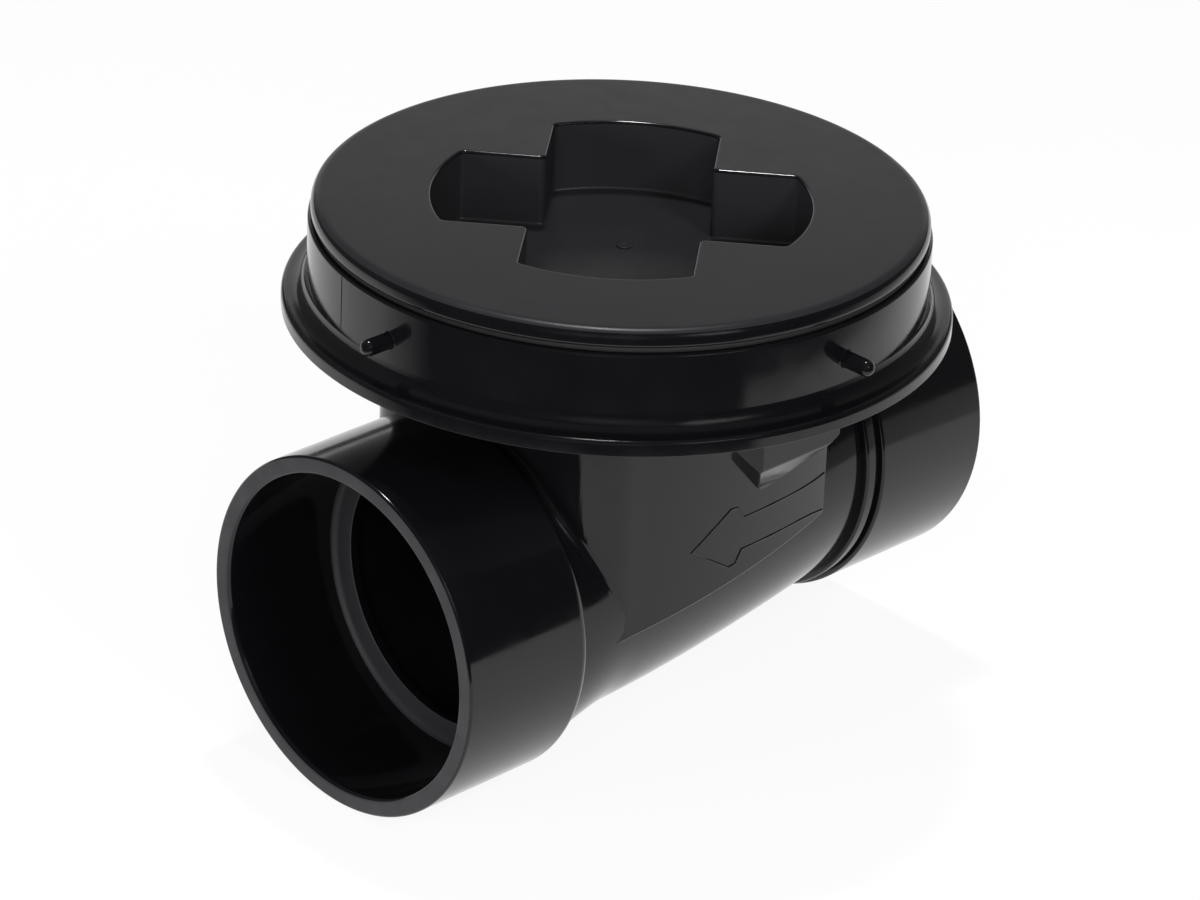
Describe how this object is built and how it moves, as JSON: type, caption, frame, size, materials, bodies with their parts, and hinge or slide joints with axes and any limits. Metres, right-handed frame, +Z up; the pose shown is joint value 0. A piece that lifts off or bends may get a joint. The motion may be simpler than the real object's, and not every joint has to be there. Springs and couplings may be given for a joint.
{
  "type": "backwater valve",
  "caption": "In-line drain backwater valve: pipe sockets at both ends, hinged gate on a leaning seat, and a screwed cover with a cross-shaped tool recess in a flanged access collar.",
  "frame": {"origin": "middle of the outlet socket's mouth, on the outlet's axis", "axes": "+X along the pipe, out of the outlet; +Z up, towards the cover; the inlet is at -X"},
  "size_m": [0.194, 0.1852, 0.1486],
  "materials": {
    "gloss_abs": "glossy moulded black",
    "satin_abs": "fine-grained moulded black",
    "seal_rubber": "soft matte black",
    "acetal": "moulded off-white",
    "steel": "stainless, brushed"
  },
  "bodies": {
    "valve_body": {"body_shell": "gloss_abs", "access_collar": "gloss_abs", "outlet_hub": "gloss_abs", "inlet_hub": "gloss_abs", "valve_seat": "gloss_abs", "sleeve_pins": "gloss_abs", "hinge_pin": "steel", "hinge_bush_left": "acetal", "hinge_bush_right": "acetal", "pin_keeper_left": "acetal", "pin_keeper_right": "acetal", "keeper_screws": "steel"},
    "gate": {"gate_disc": "satin_abs", "gate_seal": "seal_rubber", "seal_retainer": "steel", "retainer_screws": "steel"},
    "cover_ring": {"cover_gasket": "seal_rubber"},
    "cover": {"cover_cap": "satin_abs"}
  },
  "joints": [
    {"name": "gate_swing", "type": "hinge", "parent": "valve_body", "child": "gate", "pos_m": [-0.1225, 0, 0.06], "axis": [0, -1, 0], "range_deg": [0, 56]},
    {"name": "cover_lift", "type": "slide", "parent": "valve_body", "child": "cover_ring", "axis": [0, 0, 1], "range_m": [0, 0.018]},
    {"name": "cover_turn", "type": "hinge", "parent": "cover_ring", "child": "cover", "pos_m": [-0.098, 0, 0.0986], "axis": [0, 0, 1], "range_deg": [0, 1080]}
  ],
  "couplings": [
    {"joint": "cover_lift", "follows": "cover_turn", "m_per_rad": 0.0009549}
  ]
}
